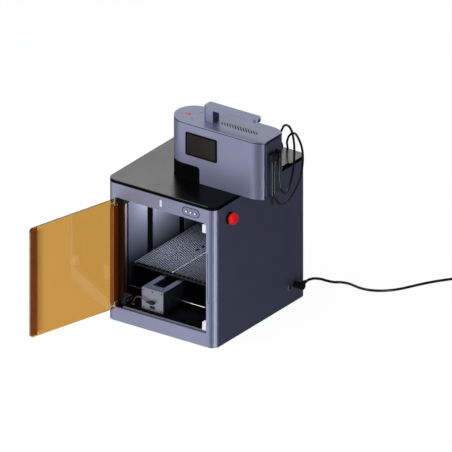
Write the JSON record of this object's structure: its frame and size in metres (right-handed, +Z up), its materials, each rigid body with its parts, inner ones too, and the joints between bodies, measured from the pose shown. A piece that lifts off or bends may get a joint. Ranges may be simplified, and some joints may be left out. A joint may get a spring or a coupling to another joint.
{
  "type": "desktop_laser_cutter",
  "caption": "Desktop laser cutter: grey steel cabinet with an amber swing door, a sliding honeycomb bed, a black lid and a laser head with a handle and touch screen",
  "frame": {"origin": "on the table under the middle of the cabinet's footprint", "axes": "+Z up, +X to the right of the door seen from the front, the front faces -Y"},
  "size_m": [0.7144, 0.9864, 0.5764],
  "materials": {
    "body_paint": "fine satin powder coat, blue-violet grey",
    "black_gloss": "smooth satin to gloss black",
    "black_plastic": "matt black",
    "black_rubber": "matt black rubber",
    "liner": "light grey satin sheet",
    "amber_acrylic": "clear amber acrylic with a dark printed border",
    "white_plastic": "white satin plastic",
    "status_light": "lit cyan-white diffuser",
    "stop_red": "red satin plastic",
    "screen_glass": "dark touch screen, off",
    "alloy": "clear anodised, light",
    "dark_alloy": "dark anodised",
    "honeycomb": "bare foil cell edges",
    "steel": "bright steel"
  },
  "bodies": {
    "cabinet": {"base_pan": "black_plastic", "foot_front_left": "black_rubber", "foot_front_right": "black_rubber", "foot_rear_left": "black_rubber", "foot_rear_right": "black_rubber", "bottom_cover": "black_plastic", "body_shell": "body_paint", "floor_tray": "black_plastic", "door_stop": "body_paint", "hinge_post": "black_plastic", "door_catch_top": "white_plastic", "door_catch_bottom": "white_plastic", "liner_front": "liner", "liner_middle": "liner", "liner_rear": "liner", "electronics_cover": "black_plastic", "power_supply": "steel", "lid": "black_gloss", "hinge_pin_top": "steel", "hinge_pin_bottom": "steel", "hinge_block_top": "black_plastic", "hinge_block_bottom": "black_plastic", "status_light": "status_light", "button_panel": "body_paint", "estop_base": "black_plastic", "exhaust_collar": "black_plastic", "fan_frame": "black_plastic", "slide_body": "dark_alloy", "slide_end_front": "alloy", "slide_end_rear": "alloy", "stabiliser_rod_front": "steel", "stabiliser_rod_rear": "steel", "head_shell": "body_paint", "lens_shield": "black_gloss", "head_cap": "body_paint", "head_end_plate": "body_paint", "head_screen": "screen_glass", "head_handle": "body_paint", "lens_barrel": "black_plastic", "laser_source": "alloy", "cable_gland": "black_plastic", "connector_inner": "black_plastic", "connector_outer": "black_plastic", "head_cable_inner": "black_rubber", "head_cable_outer": "black_rubber", "power_gland": "black_plastic", "power_cord": "black_rubber", "power_cord_coil": "black_rubber", "power_plug": "black_plastic"},
    "door": {"door_panel": "amber_acrylic"},
    "estop_stem": {"estop_stem": "stop_red"},
    "estop_cap": {"estop_cap": "stop_red"},
    "button_left": {"button_left": "white_plastic"},
    "button_middle": {"button_middle": "white_plastic"},
    "button_right": {"button_right": "white_plastic"},
    "bed": {"slide_carriage": "dark_alloy", "bed_tray": "black_plastic", "honeycomb_core": "honeycomb"},
    "slide_screw": {"slide_screw": "steel"},
    "fan_rotor": {"fan_rotor": "black_plastic"}
  },
  "joints": [
    {"name": "door_swing", "type": "hinge", "parent": "cabinet", "child": "door", "pos_m": [-0.1302, -0.1981, 0.1866], "axis": [0, 0, 1], "range_deg": [-5, 105]},
    {"name": "estop_push", "type": "slide", "parent": "cabinet", "child": "estop_stem", "axis": [-1, 0, 0], "range_m": [0, 0.004]},
    {"name": "estop_twist", "type": "hinge", "parent": "estop_stem", "child": "estop_cap", "pos_m": [0.17, -0.132, 0.333], "axis": [1, 0, 0], "range_deg": [0, 45], "stiffness_Nm_per_rad": 0.02},
    {"name": "button_left_press", "type": "slide", "parent": "cabinet", "child": "button_left", "axis": [0, 1, 0], "range_m": [0, 0.001], "stiffness_N_per_m": 800},
    {"name": "button_middle_press", "type": "slide", "parent": "cabinet", "child": "button_middle", "axis": [0, 1, 0], "range_m": [0, 0.001], "stiffness_N_per_m": 800},
    {"name": "button_right_press", "type": "slide", "parent": "cabinet", "child": "button_right", "axis": [0, 1, 0], "range_m": [0, 0.001], "stiffness_N_per_m": 800},
    {"name": "bed_travel", "type": "slide", "parent": "cabinet", "child": "bed", "axis": [0, -1, 0], "range_m": [0, 0.05]},
    {"name": "screw_turn", "type": "hinge", "parent": "cabinet", "child": "slide_screw", "pos_m": [-0.037, 0.002, 0.0749], "axis": [0, 1, 0], "range_deg": [0, 2260]},
    {"name": "fan_spin", "type": "hinge", "parent": "cabinet", "child": "fan_rotor", "pos_m": [-0.04, 0.177, 0.25], "axis": [0, 1, 0], "continuous": true}
  ],
  "couplings": [
    {"joint": "screw_turn", "follows": "bed_travel", "rad_per_m": 785.4}
  ]
}
